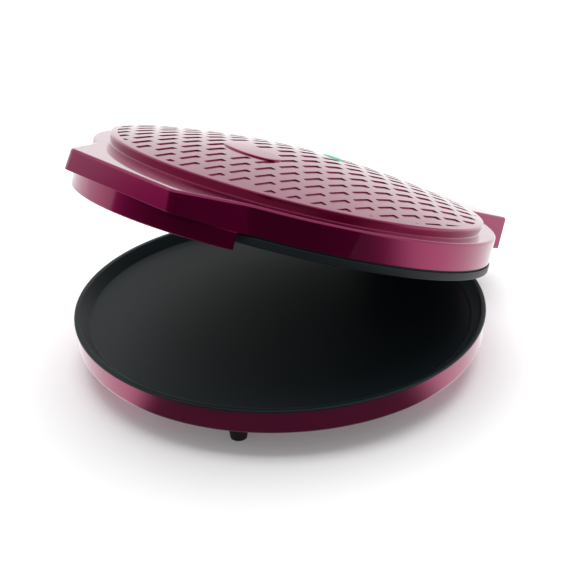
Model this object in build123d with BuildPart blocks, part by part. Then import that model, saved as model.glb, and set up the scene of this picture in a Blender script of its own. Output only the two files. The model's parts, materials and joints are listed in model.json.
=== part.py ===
from build123d import *
import math
import os

# Electric pizza maker: a round base with a shallow black pan, and a hinged lid that carries a black
# upper plate. Sizes are in millimetres. The lid is modelled open, as it stands at rest.

# Driving dimensions of the base: levels are measured from the top of the pan's rim
rim_height = 43.0          # top of the pan's rim above the floor
axis_y = -24.557           # the round base's axis, so that the open cooker's footprint is centred
rim_radius = 163.6
pan_floor = -8.0
pan_under = -12.0
pan_floor_radius = 151.8
rim_inner_radius = 159.6    # the pan's wall slopes up to here
pan_wall_radius = 159.2
shell_radius = 162.5
wall = 2.5
bowl_top = -2.2
bowl_depth = 26.3
bowl_flat_radius = 138.0
bowl_knee = (161.6, -20.4)     # where the side wall meets the shallow underside, before rounding
bowl_knee_blend = 3.5
cover_radius = 108.0
cover_opening = 92.0
cover_thick = 1.5

# Driving dimensions of the lid: in the closed lid's own levels, from the same rim plane and axis
open_angle = 22.0
hinge_y = 184.0
hinge_z = 8.0
lid_radius = 160.4
lid_bottom = 8.3
lid_top = 29.0
flange_inner = 138.3
plate_radius = 161.2
plate_low = 0.9
plate_face = 6.0
plate_side_top = 7.0
plate_back = 10.5
plate_back_radius = 156.5
dome_radius = 149.0
dome_foot_radius = 146.0
dome_rim_z = 36.3
dome_height = 17.7
dome_power = 1.67
handle_front = 186.4       # at the top; the front and sides widen a little towards the bottom
handle_half = 55.0
handle_root = (84.0, 137.0)
handle_draft = (2.5, 0.6)
handle_low = 12.9
handle_fall_y = 143.1      # where the handle's sloping underside meets the shell's lower edge
handle_blend = 25.0
handle_corner = 8.0
lip_radius = 127.0
lip_centre_y = -57.0
lip_half_angle = 43.3
lip_low = -3.0
lip_wall = 2.4
housing_half = 62.0
housing_back = 207.5
housing_low = 1.0
housing_top = 28.0         # at the back edge
housing_fall = 4.0         # degrees that the housing's top falls towards the back

# Small parts
pin_radius = 3.0
pin_clearance = 0.05
lug_radius = 9.0
arm_half = 42.0
element_radius = 90.0
tube_radius = 3.3
stud_circle = 112.0
screw_radius = 1.6
post_circle = 134.0
post_angles = (30, 150, 210, 330)
foot_circle = 133.5
foot_angles = {"front_left": 239, "front_right": 301, "rear_left": 121, "rear_right": 59}
badge_y = -57.5
badge_size = (54.0, 28.0)
badge_rise = 1.2
lens_y = 38.0
lens_size = (22.0, 11.0)
lens_rise = 1.4
shield_radius = 118.0
inlet_angle = 118.0
inlet_z = -21.5
inlet_bore = 3.4

os.makedirs("parts", exist_ok=True)


def save(builder, name):
    builder.part.label = name
    export_step(builder.part, f"parts/{name}.step")


def polar(radius, degrees):
    return (radius * math.cos(math.radians(degrees)), radius * math.sin(math.radians(degrees)))


# Planes of the base: levels, the half section through its axis, and a side view at a given X
def base_level(z):
    return Plane(origin=(0, axis_y, rim_height + z))


def base_side(x):
    return Plane(origin=(x, axis_y, rim_height), x_dir=(0, 1, 0), z_dir=(1, 0, 0))


base_section = Plane(origin=(0, axis_y, rim_height), x_dir=(1, 0, 0), z_dir=(0, -1, 0))
base_axis = Axis((0, axis_y, rim_height), (0, 0, 1))

# The same planes for the lid, turned back about the hinge by the open angle
tilt_sin = math.sin(math.radians(open_angle))
tilt_cos = math.cos(math.radians(open_angle))
lid_up = Vector(0, tilt_sin, tilt_cos)
lid_back = Vector(0, tilt_cos, -tilt_sin)
hinge_point = Vector(0, axis_y + hinge_y, rim_height + hinge_z)
lid_origin = hinge_point - lid_back * hinge_y - lid_up * hinge_z


def lid_level(z):
    return Plane(origin=lid_origin + lid_up * z, x_dir=(1, 0, 0), z_dir=lid_up)


def lid_side(x):
    return Plane(origin=lid_origin + Vector(x, 0, 0), x_dir=lid_back, z_dir=(1, 0, 0))


lid_section = Plane(origin=lid_origin, x_dir=(1, 0, 0), z_dir=lid_back * -1)
lid_axis = Axis(lid_origin, lid_up)


def lid_point(x, y, z):
    return lid_origin + Vector(x, 0, 0) + lid_back * y + lid_up * z


def dome_z(radius, rise=0.0):
    return dome_rim_z + rise + dome_height * (1 - (radius / dome_radius) ** dome_power)


def dome_line(rise):
    """The dome's curve from its axis to its rim, raised by rise."""
    points = [(r, dome_z(r, rise)) for r in (0, 30, 60, 90, 120, dome_radius)]
    return Spline(points, tangents=[(1, 0), (1, -0.2)])


def bowl_points(inset):
    """Points of the bowl's half section: top edge, knee, edge of the flat underside, centre."""
    return [(shell_radius - inset, bowl_top), (bowl_knee[0] - inset, bowl_knee[1] + inset * 0.72),
            (bowl_flat_radius - inset * 0.16, bowl_top - bowl_depth + inset),
            (0, bowl_top - bowl_depth + inset)]


# Forms that several pieces share
with BuildPart() as bowl_form:
    with BuildSketch(base_section):
        with BuildLine():
            points = bowl_points(0)
            FilletPolyline(*points, radius=bowl_knee_blend)
            Polyline(points[-1], (0, bowl_top), points[0])
        make_face()
    revolve(axis=base_axis)

with BuildPart() as bowl_hollow:
    with BuildSketch(base_section):
        with BuildLine():
            points = bowl_points(wall)
            FilletPolyline(*points, radius=bowl_knee_blend)
            Polyline(points[-1], (0, bowl_top), points[0])
        make_face()
    revolve(axis=base_axis)

with BuildPart() as dome_form:
    with BuildSketch(lid_section):
        with BuildLine():
            dome_line(0)
            Polyline((dome_radius, dome_rim_z), (dome_radius, 20), (0, 20), (0, dome_z(0)))
        make_face()
    revolve(axis=lid_axis)

with BuildPart() as dome_inside:
    with BuildSketch(lid_section):
        with BuildLine():
            dome_line(-wall)
            Polyline((dome_radius, dome_rim_z - wall), (dome_radius, 20), (0, 20), (0, dome_z(0, -wall)))
        make_face()
    revolve(axis=lid_axis)

with BuildPart() as badge_form:
    with BuildSketch(lid_section):
        with BuildLine():
            dome_line(badge_rise)
            Polyline((dome_radius, dome_rim_z + badge_rise), (dome_radius, 20), (0, 20),
                     (0, dome_z(0, badge_rise)))
        make_face()
    revolve(axis=lid_axis)

with BuildPart() as lens_form:
    with BuildSketch(lid_section):
        with BuildLine():
            dome_line(lens_rise)
            Polyline((dome_radius, dome_rim_z + lens_rise), (dome_radius, 20), (0, 20),
                     (0, dome_z(0, lens_rise)))
        make_face()
    revolve(axis=lid_axis)

stud_places = [polar(stud_circle, a) for a in (45, 135, 225, 315)]
cover_places = [polar(100, a) for a in (0, 90, 180, 270)]
post_places = [polar(post_circle, a) for a in post_angles]
foot_places = {side: polar(foot_circle, a) for side, a in foot_angles.items()}
inlet_direction = Vector(math.cos(math.radians(inlet_angle)), math.sin(math.radians(inlet_angle)), 0)


def inlet_plane(radius):
    origin = Vector(0, axis_y, rim_height + inlet_z) + inlet_direction * radius
    return Plane(origin=origin, x_dir=(0, 0, 1), z_dir=inlet_direction)


# Base: the moulded bowl
bowl_floor = bowl_points(wall)[-1][1]
bowl_under = bowl_points(0)[-1][1]
shield_low = -20.0
with BuildPart() as base_shell:
    add(bowl_form.part)
    add(bowl_hollow.part, mode=Mode.SUBTRACT)
    with BuildSketch(base_level(bowl_floor - 1)):
        with Locations(*stud_places):
            Circle(6)
    extrude(amount=shield_low - bowl_floor + 1)
    with BuildSketch(base_level(bowl_floor - 1)):
        with Locations(*cover_places):
            Circle(4)
    extrude(amount=6)
    with BuildSketch(base_level(bowl_under)):
        Circle(cover_opening)
    extrude(amount=wall, mode=Mode.SUBTRACT)
    with BuildSketch(base_level(bowl_under)):
        with Locations(*stud_places):
            Circle(screw_radius + 0.3)
    extrude(amount=12, mode=Mode.SUBTRACT)
    with BuildSketch(base_level(bowl_under)):
        with Locations(*stud_places):
            Circle(4)
    extrude(amount=2.6, mode=Mode.SUBTRACT)
    with BuildSketch(base_level(bowl_under)):
        with Locations(*cover_places):
            Circle(1.3)
    extrude(amount=6.2, mode=Mode.SUBTRACT)
    with BuildSketch(base_level(bowl_under - 1)):
        with Locations(*foot_places.values()):
            Circle(3)
    extrude(amount=8, mode=Mode.SUBTRACT)
    with BuildSketch(inlet_plane(148)):
        Circle(8.2)
    extrude(amount=14.6)
    with BuildSketch(inlet_plane(140)):
        Circle(5.1)
    extrude(amount=30, mode=Mode.SUBTRACT)
save(base_shell, "base_shell")

# Base: the non-stick pan that drops into the bowl, its rim lying on the bowl's edge
with BuildPart() as lower_plate:
    with BuildSketch(base_section):
        with BuildLine():
            FilletPolyline((0, pan_floor), (pan_floor_radius, pan_floor), (rim_inner_radius, 0),
                           (rim_radius - 1.4, 0), radius=2.5)
            RadiusArc((rim_radius - 1.4, 0), (rim_radius, -1.4), 1.4)
            Polyline((rim_radius, -1.4), (rim_radius, bowl_top), (pan_wall_radius, bowl_top),
                     (pan_wall_radius - 2, pan_under + 4.5), (pan_wall_radius - 5.7, pan_under), (0, pan_under),
                     (0, pan_floor))
        make_face()
    revolve(axis=base_axis)
    with BuildSketch(base_level(pan_under)):
        Circle(element_radius + 6)
        Circle(element_radius - 6, mode=Mode.SUBTRACT)
    extrude(amount=-2.5)
    with BuildSketch(base_level(pan_under)):
        with Locations(*stud_places):
            Circle(4.5)
    extrude(amount=-(pan_under - shield_low - 0.8))
    with BuildSketch(base_section):
        with Locations((element_radius, pan_under - tube_radius - 0.1)):
            Circle(tube_radius + 0.05)
    revolve(axis=base_axis, mode=Mode.SUBTRACT)
    with BuildSketch(base_level(shield_low)):
        with Locations(*stud_places):
            Circle(screw_radius + 0.05)
    extrude(amount=7.8, mode=Mode.SUBTRACT)
save(lower_plate, "lower_plate")


def turned_section(side, angle):
    """Half section of the base or lid, turned about its axis to the given angle."""
    across = side.x_dir * math.cos(math.radians(angle)) - side.z_dir * math.sin(math.radians(angle))
    facing = side.z_dir * math.cos(math.radians(angle)) + side.x_dir * math.sin(math.radians(angle))
    return Plane(origin=side.origin, x_dir=across, z_dir=facing)


# Base: the tubular heating element in its groove, open for its two terminals at the back
lower_start = turned_section(base_section, 100)
lower_end = turned_section(base_section, 80)
with BuildPart() as lower_element:
    with BuildSketch(lower_start):
        with Locations((element_radius, pan_under - tube_radius - 0.1)):
            Circle(tube_radius)
    revolve(axis=base_axis, revolution_arc=340)
    with BuildSketch(lower_start, lower_end):
        with Locations((element_radius, pan_under - tube_radius - 0.1)):
            Circle(1.2)
    extrude(amount=9, both=True)
save(lower_element, "lower_element")

with BuildPart() as lower_heat_shield:
    with BuildSketch(base_level(shield_low)):
        Circle(shield_radius)
        with Locations(*stud_places):
            Circle(screw_radius + 0.3, mode=Mode.SUBTRACT)
        with Locations((0, 60)):
            SlotOverall(30, 10, mode=Mode.SUBTRACT)
    extrude(amount=0.8)
    with BuildSketch(base_level(shield_low)):
        Circle(shield_radius)
        Circle(shield_radius - 0.8, mode=Mode.SUBTRACT)
    extrude(amount=5)
save(lower_heat_shield, "lower_heat_shield")

for number, place in enumerate(stud_places, start=1):
    with BuildPart() as plate_screw:
        with BuildSketch(base_level(bowl_under + 0.2)):
            with Locations(place):
                Circle(3.4)
        extrude(amount=2.4)
        with BuildSketch(base_level(bowl_under + 0.2)):
            with Locations(place):
                Circle(screw_radius)
        extrude(amount=15.6)
        with BuildSketch(base_level(bowl_under + 0.2)):
            with Locations(place):
                Rectangle(4.4, 0.9)
                Rectangle(0.9, 4.4)
        extrude(amount=1.2, mode=Mode.SUBTRACT)
    save(plate_screw, f"pan_screw_{number}")

# Base: the vented cover under the bowl and its screws
with BuildPart() as base_cover:
    with BuildSketch(base_level(bowl_under)):
        Circle(cover_radius)
        with Locations(*cover_places):
            Circle(1.6, mode=Mode.SUBTRACT)
        with Locations(*stud_places):
            Circle(4.5, mode=Mode.SUBTRACT)
        with GridLocations(0, 16, 1, 7):
            SlotOverall(70, 4, mode=Mode.SUBTRACT)
    extrude(amount=-cover_thick)
    with BuildSketch(base_level(bowl_under)):
        Circle(cover_opening - 0.3)
        Circle(cover_opening - 2.3, mode=Mode.SUBTRACT)
    extrude(amount=3)
save(base_cover, "base_cover")

for number, place in enumerate(cover_places, start=1):
    with BuildPart() as cover_screw:
        with BuildSketch(base_level(bowl_under - cover_thick)):
            with Locations(place):
                Circle(3)
        extrude(amount=-1.6)
        with BuildSketch(base_level(bowl_under - cover_thick)):
            with Locations(place):
                Circle(1.25)
        extrude(amount=7)
        with BuildSketch(base_level(bowl_under - cover_thick - 1.6)):
            with Locations(place):
                Rectangle(3.8, 0.8)
                Rectangle(0.8, 3.8)
        extrude(amount=0.9, mode=Mode.SUBTRACT)
    save(cover_screw, f"cover_screw_{number}")

# Base: four push-in rubber feet
for side, place in foot_places.items():
    with BuildPart() as foot:
        with BuildSketch(base_level(-rim_height)):
            with Locations(place):
                Circle(6.2)
        with BuildSketch(base_level(-26)):
            with Locations(place):
                Circle(8.6)
        loft()
        add(bowl_form.part, mode=Mode.SUBTRACT)
        with BuildSketch(base_level(bowl_under - 2)):
            with Locations(place):
                Circle(2.9)
        extrude(amount=6.5)
        with BuildSketch(base_level(bowl_floor + 0.1)):
            with Locations(place):
                Circle(4)
        extrude(amount=1.6, taper=30)
    save(foot, f"foot_{side}")

# Base: parts on the pan's underside
with BuildPart() as thermostat:
    with BuildSketch(base_level(pan_under)):
        with Locations((0, 30)):
            RectangleRounded(27, 9, 4)
    extrude(amount=-0.8)
    with BuildSketch(base_level(pan_under)):
        with Locations((0, 30)):
            Circle(8)
    extrude(amount=-5)
    with BuildSketch(base_level(pan_under - 3.4)):
        with Locations((-11, 30), (11, 30)):
            Rectangle(8, 4)
    extrude(amount=-0.8)
save(thermostat, "thermostat")

with BuildPart() as thermal_fuse:
    with BuildSketch(base_side(-8)):
        with Locations((-30, pan_under - 2.05)):
            Circle(2)
    extrude(amount=16)
    with BuildSketch(base_side(-3)):
        with Locations((-30, pan_under - 1.1)):
            Rectangle(14, 2.2)
    extrude(amount=6)
    with BuildSketch(base_side(-14)):
        with Locations((-30, pan_under - 2.05)):
            Circle(0.7)
    extrude(amount=28)
save(thermal_fuse, "thermal_fuse")

with BuildPart() as terminal_block:
    with BuildSketch(base_level(bowl_floor)):
        with Locations((-50, 98)):
            Rectangle(24, 12)
    extrude(amount=5)
    with BuildSketch(base_level(bowl_floor + 5)):
        with Locations((-58, 98), (-50, 98), (-42, 98)):
            Circle(2)
    extrude(amount=-3, mode=Mode.SUBTRACT)
save(terminal_block, "terminal_block")

with BuildPart() as cord_gland:
    with BuildSketch(inlet_plane(162.65)):
        Circle(7.5)
    extrude(amount=2.2)
    with BuildSketch(inlet_plane(150)):
        Circle(5)
    extrude(amount=18)
    with BuildSketch(inlet_plane(149)):
        Circle(inlet_bore)
    extrude(amount=20, mode=Mode.SUBTRACT)
save(cord_gland, "cord_gland")

# Hinge, base side: a bracket on the bowl's back wall with two lugs, and the two pins
with BuildPart() as hinge_bracket:
    with BuildSketch(base_side(-arm_half)):
        with Locations((hinge_y - 14.4, -8.5)):
            Rectangle(8.8, 15)
        with Locations((hinge_y - 26.0, -9.5)):
            Rectangle(24, 13)
    extrude(amount=arm_half * 2)
    with BuildSketch(base_side(-arm_half), base_side(arm_half - 12)):
        with BuildLine():
            Polyline((hinge_y, hinge_z + lug_radius), (hinge_y - 18.8, hinge_z + 1),
                     (hinge_y - 18.8, hinge_z - 12), (hinge_y - 10, hinge_z - 12),
                     (hinge_y - 6, hinge_z - lug_radius + 2.29), (hinge_y, hinge_z - 6),
                     (hinge_y, hinge_z + lug_radius))
        make_face()
        with Locations((hinge_y, hinge_z)):
            Circle(lug_radius)
    extrude(amount=12)
    add(bowl_form.part, mode=Mode.SUBTRACT)
    with BuildSketch(base_level(-3)):
        Circle(rim_radius + 0.8)
    extrude(amount=20, mode=Mode.SUBTRACT)
    with BuildSketch(base_side(-60)):
        with Locations((hinge_y, hinge_z)):
            Circle(pin_radius + 0.02)
    extrude(amount=120, mode=Mode.SUBTRACT)
save(hinge_bracket, "hinge_bracket")

for side, sign in (("left", -1), ("right", 1)):
    with BuildPart() as hinge_pin:
        with BuildSketch(base_side(sign * 29)):
            with Locations((hinge_y, hinge_z)):
                Circle(pin_radius)
        extrude(amount=sign * 22)
        with BuildSketch(base_side(sign * 50.5)):
            with Locations((hinge_y, hinge_z)):
                Circle(5)
        extrude(amount=sign * 2)
    save(hinge_pin, f"hinge_pin_{side}")

# Lid: the outer shell with its handle in front and its hinge housing behind
fall = math.tan(math.radians(housing_fall))
slope = (handle_low - lid_bottom) / (handle_front - handle_fall_y)
handle_flare = ((handle_root[0] - handle_half) / (handle_front - handle_root[1]))
handle_inner_half = handle_root[0] + 20 * handle_flare


def handle_corners(inset, wider=0.0, longer=0.0):
    """Corners of the handle's outline in front of the round shell."""
    return [(handle_half - inset * 0.6 + wider, -handle_front + inset - longer),
            (handle_inner_half - inset * 1.2 + wider, -handle_root[1] + 20),
            (-handle_inner_half + inset * 1.2 - wider, -handle_root[1] + 20),
            (-handle_half + inset * 0.6 - wider, -handle_front + inset - longer)]


def ceiling(y, drop=0.0):
    return housing_top - drop + (housing_back - y) * fall


with BuildSketch(lid_level(lid_bottom)) as handle_foot_outline:
    Circle(lid_radius)
    Polygon(*handle_corners(0, *handle_draft), align=None)
    joints = handle_foot_outline.vertices().filter_by(lambda v: abs(abs(v.X) - handle_root[0] - 3) < 4)
    fillet(joints, radius=handle_blend)
    fronts = handle_foot_outline.vertices().filter_by(
        lambda v: abs(abs(v.X) - handle_half - handle_draft[0]) < 0.5)
    fillet(fronts, radius=handle_corner)

with BuildSketch(lid_level(lid_top)) as handle_top_outline:
    Circle(lid_radius)
    Polygon(*handle_corners(0), align=None)
    joints = handle_top_outline.vertices().filter_by(lambda v: abs(abs(v.X) - handle_root[0]) < 4)
    fillet(joints, radius=handle_blend)
    fronts = handle_top_outline.vertices().filter_by(lambda v: abs(abs(v.X) - handle_half) < 0.5)
    fillet(fronts, radius=handle_corner)

with BuildPart() as handle_form:
    add(handle_foot_outline.sketch)
    add(handle_top_outline.sketch)
    loft(ruled=True)
    fillet(handle_form.faces().sort_by(Axis(lid_origin, lid_up))[-1].edges(), radius=1.6)


def lid_height(shape):
    return (shape.center() - lid_origin).dot(lid_up)


def underside(y):
    """Level of the handle's lower edges at a given Y in front of the shell."""
    return lid_bottom + max(0, -handle_fall_y - y) * slope


def side_band(low, high):
    """Side view of a layer that follows the handle's sloping underside."""
    stations = (-210, -handle_fall_y, -120)
    return [(y, underside(y) + low) for y in stations] + [(y, underside(y) + high) for y in reversed(stations)]


with BuildPart() as handle_clearance:
    with BuildSketch(lid_side(-110)):
        Polygon(*side_band(-20, 0), align=None)
    extrude(amount=220)
    with BuildSketch(lid_level(-20)):
        Circle(lid_radius)
    extrude(amount=60, mode=Mode.SUBTRACT)

with BuildPart() as housing_form:
    with BuildSketch(lid_side(-housing_half)):
        Polygon((140, housing_low), (housing_back + 0.6, housing_low), (housing_back, ceiling(housing_back)),
                (140, ceiling(140)), align=None)
    extrude(amount=housing_half * 2)
    fillet(housing_form.edges().filter_by(
        lambda e: lid_height(e) > housing_top - 1 and (e.center() - lid_origin).dot(lid_back) > 145), radius=2.2)
    with BuildSketch(lid_level(-20)):
        Circle(150.5)
    extrude(amount=80, mode=Mode.SUBTRACT)
    with BuildSketch(lid_level(-20)):
        Circle(plate_radius + 1.2)
    extrude(amount=20 + lid_bottom, mode=Mode.SUBTRACT)

with BuildPart() as housing_hollow:
    with BuildSketch(lid_side(-housing_half + wall)):
        Polygon((140, -10), (housing_back + 0.6 - wall, -10), (housing_back - wall, ceiling(housing_back, wall)),
                (140, ceiling(140, wall)), align=None)
    extrude(amount=(housing_half - wall) * 2)
    with BuildSketch(lid_level(-20)):
        Circle(lid_radius)
    extrude(amount=80, mode=Mode.SUBTRACT)

ear_places = [(-20, hinge_y), (20, hinge_y)]
lip_places = [(-35, -170), (35, -170)]
ear_top = 23.5
with BuildPart() as lid_shell:
    add(handle_form.part)
    add(handle_clearance.part, mode=Mode.SUBTRACT)
    with BuildSketch(lid_level(lid_bottom)):
        Polygon(*handle_corners(wall), align=None)
        Circle(lid_radius, mode=Mode.SUBTRACT)
    extrude(amount=lid_top - wall - lid_bottom, mode=Mode.SUBTRACT)
    add(housing_form.part)
    add(housing_hollow.part, mode=Mode.SUBTRACT)
    with BuildSketch(lid_level(lid_bottom - 1)):
        Circle(lid_radius - wall)
    extrude(amount=lid_top - wall - lid_bottom + 1, mode=Mode.SUBTRACT)
    with BuildSketch(lid_level(lid_bottom)):
        Circle(flange_inner)
    extrude(amount=40, mode=Mode.SUBTRACT)
    with BuildSketch(lid_level(14)):
        for angle in post_angles:
            with Locations(Location((0, 0, 0), (0, 0, angle))):
                with Locations((143.5, 0)):
                    Rectangle(32, 18)
        Circle(lid_radius - 0.5, mode=Mode.INTERSECT)
        with Locations(*post_places):
            Circle(screw_radius + 0.3, mode=Mode.SUBTRACT)
    extrude(amount=wall)
    with BuildSketch(lid_level(ear_top)):
        with Locations(*ear_places):
            Circle(5)
    extrude(amount=4.6)
    with BuildSketch(lid_level(ear_top)):
        with Locations(*ear_places):
            Circle(1.3)
    extrude(amount=3.5, mode=Mode.SUBTRACT)
    with BuildSketch(lid_level(14.3)):
        with Locations(*lip_places):
            Circle(4.5)
    extrude(amount=13)
    with BuildSketch(lid_level(14.3)):
        with Locations(*lip_places):
            Circle(1.3)
    extrude(amount=9, mode=Mode.SUBTRACT)
    with BuildSketch(Plane(origin=lid_point(0, 150, 17), x_dir=(1, 0, 0), z_dir=lid_back)):
        Circle(4)
    extrude(amount=13, mode=Mode.SUBTRACT)
save(lid_shell, "lid_shell")

# Lid: the handle's lower cover, with the lip that hangs in front of the base
lip_wedge = [(0, lip_centre_y)] + [
    (sign * 200 * math.sin(math.radians(lip_half_angle)),
     lip_centre_y - 200 * math.cos(math.radians(lip_half_angle))) for sign in (1, -1)]
with BuildPart() as lip_wall_form:
    with BuildSketch(lid_level(lip_low)):
        with Locations((0, lip_centre_y)):
            Circle(lip_radius)
            Circle(lip_radius - lip_wall, mode=Mode.SUBTRACT)
        Polygon(*lip_wedge, align=None, mode=Mode.INTERSECT)
    extrude(amount=20)
    with BuildSketch(lid_side(-110)):
        Polygon(*side_band(-20, 0), align=None)
    extrude(amount=220, mode=Mode.INTERSECT)

with BuildPart() as lip_shelf_form:
    with BuildSketch(lid_level(0)):
        with Locations((0, lip_centre_y)):
            Circle(lip_radius)
        Polygon(*lip_wedge, align=None, mode=Mode.INTERSECT)
        Circle(plate_radius + 1.9, mode=Mode.SUBTRACT)
    extrude(amount=20)
    with BuildSketch(lid_side(-110)):
        Polygon(*side_band(-1.6, 0), align=None)
    extrude(amount=220, mode=Mode.INTERSECT)

with BuildPart() as handle_lip:
    with BuildSketch(lid_level(0)):
        Polygon(*handle_corners(wall + 0.2), align=None)
        Circle(lid_radius + 0.2, mode=Mode.SUBTRACT)
    extrude(amount=25)
    with BuildSketch(lid_side(-110)):
        Polygon(*side_band(0, wall), align=None)
    extrude(amount=220, mode=Mode.INTERSECT)
    add(lip_shelf_form.part)
    add(lip_wall_form.part)
    with BuildSketch(lid_level(0)):
        with Locations(*lip_places):
            Circle(1.6)
    extrude(amount=20, mode=Mode.SUBTRACT)
    with BuildSketch(lid_level(0)):
        with Locations(*lip_places):
            Circle(3.4)
    extrude(amount=11.9, mode=Mode.SUBTRACT)
save(handle_lip, "handle_lip")

for side, place in zip(("left", "right"), lip_places):
    with BuildPart() as lip_screw:
        with BuildSketch(lid_level(11.9)):
            with Locations(place):
                Circle(3)
        extrude(amount=-2)
        with BuildSketch(lid_level(11.9)):
            with Locations(place):
                Circle(1.25)
        extrude(amount=10)
        with BuildSketch(lid_level(9.9)):
            with Locations(place):
                Rectangle(3.8, 0.8)
                Rectangle(0.8, 3.8)
        extrude(amount=1, mode=Mode.SUBTRACT)
    save(lip_screw, f"lip_screw_{side}")

# Lid: the domed panel that overhangs its foot, clipped into the flange
with BuildPart() as dome_cavity:
    add(dome_inside.part)
    with BuildSketch(lid_section):
        Polygon((0, 20), (dome_foot_radius - wall, 20), (dome_foot_radius - wall, lid_top),
                (dome_radius - wall, dome_rim_z), (dome_radius - wall, 70), (0, 70), align=None)
    revolve(axis=lid_axis, mode=Mode.INTERSECT)

lens_hole = (lens_size[0] / 2 - 1.5, lens_size[1] / 2 - 1.5)
peg_places = [(-15, badge_y), (15, badge_y)]
peg_low = dome_z(60) - 4.5
with BuildPart() as lid_dome:
    with BuildSketch(lid_section):
        with BuildLine():
            dome_line(0)
            Polyline((dome_radius, dome_rim_z), (dome_foot_radius, lid_top), (0, lid_top), (0, dome_z(0)))
        make_face()
    revolve(axis=lid_axis)
    rim = lid_dome.edges().filter_by(GeomType.CIRCLE).filter_by(lambda e: abs(e.radius - dome_radius) < 0.1)
    fillet(rim, radius=0.7)
    add(dome_cavity.part, mode=Mode.SUBTRACT)
    with BuildSketch(lid_level(lid_top - 4.8)):
        for angle in (0, 60, 120, 180, 240, 300):
            with Locations(Location((0, 0, 0), (0, 0, angle))):
                with Locations((flange_inner - 1.6, 0)):
                    Rectangle(2.4, 14)
    extrude(amount=12.2)
    with BuildSketch(lid_level(lid_top - 4.8)):
        for angle in (0, 60, 120, 180, 240, 300):
            with Locations(Location((0, 0, 0), (0, 0, angle))):
                with Locations((flange_inner - 0.2, 0)):
                    Rectangle(3.2, 14)
    extrude(amount=2.1)
    with BuildSketch(lid_level(30)):
        with Locations((0, lens_y)):
            Ellipse(*lens_hole)
    extrude(amount=40, mode=Mode.SUBTRACT)
    with BuildSketch(lid_level(30)):
        with Locations(*peg_places):
            Circle(2.05)
    extrude(amount=40, mode=Mode.SUBTRACT)
save(lid_dome, "lid_dome")

with BuildPart() as badge_plate:
    with BuildSketch(lid_level(30)):
        with Locations((0, badge_y)):
            Ellipse(badge_size[0] / 2, badge_size[1] / 2)
    extrude(amount=40)
    add(badge_form.part, mode=Mode.INTERSECT)
    add(dome_form.part, mode=Mode.SUBTRACT)
    with BuildSketch(lid_level(peg_low)):
        with Locations(*peg_places):
            Circle(2)
    extrude(amount=5)
save(badge_plate, "badge_plate")

with BuildPart() as indicator_lens:
    with BuildSketch(lid_level(30)):
        with Locations((0, lens_y)):
            Ellipse(lens_size[0] / 2, lens_size[1] / 2)
    extrude(amount=40)
    add(lens_form.part, mode=Mode.INTERSECT)
    add(dome_form.part, mode=Mode.SUBTRACT)
    with BuildSketch(lid_level(dome_z(lens_y) - 3)):
        with Locations((0, lens_y)):
            Ellipse(lens_hole[0] - 0.1, lens_hole[1] - 0.1)
    extrude(amount=3.4)
save(indicator_lens, "indicator_lens")

with BuildPart() as lamp_holder:
    with BuildSketch(lid_level(36)):
        with Locations((0, lens_y)):
            Rectangle(26, 15)
    extrude(amount=20)
    add(dome_inside.part, mode=Mode.INTERSECT)
    with BuildSketch(lid_level(42)):
        with Locations((0, lens_y)):
            Ellipse(lens_hole[0] + 0.2, lens_hole[1] + 0.2)
    extrude(amount=20, mode=Mode.SUBTRACT)
    with BuildSketch(lid_level(35)):
        with Locations((0, lens_y)):
            Circle(3.05)
    extrude(amount=10, mode=Mode.SUBTRACT)
save(lamp_holder, "lamp_holder")

with BuildPart() as indicator_lamp:
    with BuildSketch(lid_level(34)):
        with Locations((0, lens_y)):
            Circle(3)
    extrude(amount=12)
    fillet(indicator_lamp.edges().filter_by(lambda e: lid_height(e) > 45), radius=2)
    with BuildSketch(lid_level(34)):
        with Locations((-1.3, lens_y), (1.3, lens_y)):
            Circle(0.4)
    extrude(amount=-6)
save(indicator_lamp, "indicator_lamp")

# Lid: the upper heating plate, whose rim shows below the shell
with BuildPart() as upper_plate:
    with BuildSketch(lid_section):
        Polygon((0, plate_face), (151, plate_face), (153.5, 2.4), (155, plate_low), (plate_radius - 1, plate_low),
                (plate_radius, plate_low + 1), (plate_radius, plate_side_top), (159.4, plate_side_top),
                (159.4, lid_bottom), (plate_back_radius, lid_bottom), (plate_back_radius, plate_back),
                (0, plate_back), align=None)
    revolve(axis=lid_axis)
    with BuildSketch(lid_level(plate_back)):
        Circle(element_radius + 6)
        Circle(element_radius - 6, mode=Mode.SUBTRACT)
    extrude(amount=2.5)
    with BuildSketch(lid_level(plate_back)):
        with Locations(*stud_places):
            Circle(4.5)
    extrude(amount=9.5)
    with BuildSketch(lid_level(plate_back)):
        with Locations(*post_places):
            Circle(5)
    extrude(amount=3.5)
    with BuildSketch(lid_section):
        with Locations((element_radius, plate_back + tube_radius + 0.1)):
            Circle(tube_radius + 0.05)
    revolve(axis=lid_axis, mode=Mode.SUBTRACT)
    with BuildSketch(lid_level(plate_back + 9.5)):
        with Locations(*stud_places):
            Circle(screw_radius + 0.05)
    extrude(amount=-8, mode=Mode.SUBTRACT)
    with BuildSketch(lid_level(plate_back + 3.5)):
        with Locations(*post_places):
            Circle(screw_radius + 0.05)
    extrude(amount=-5, mode=Mode.SUBTRACT)
save(upper_plate, "upper_plate")

upper_start = turned_section(lid_section, 100)
upper_end = turned_section(lid_section, 80)
with BuildPart() as upper_element:
    with BuildSketch(upper_start):
        with Locations((element_radius, plate_back + tube_radius + 0.1)):
            Circle(tube_radius)
    revolve(axis=lid_axis, revolution_arc=340)
    with BuildSketch(upper_start, upper_end):
        with Locations((element_radius, plate_back + tube_radius + 0.1)):
            Circle(1.2)
    extrude(amount=9, both=True)
save(upper_element, "upper_element")

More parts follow.
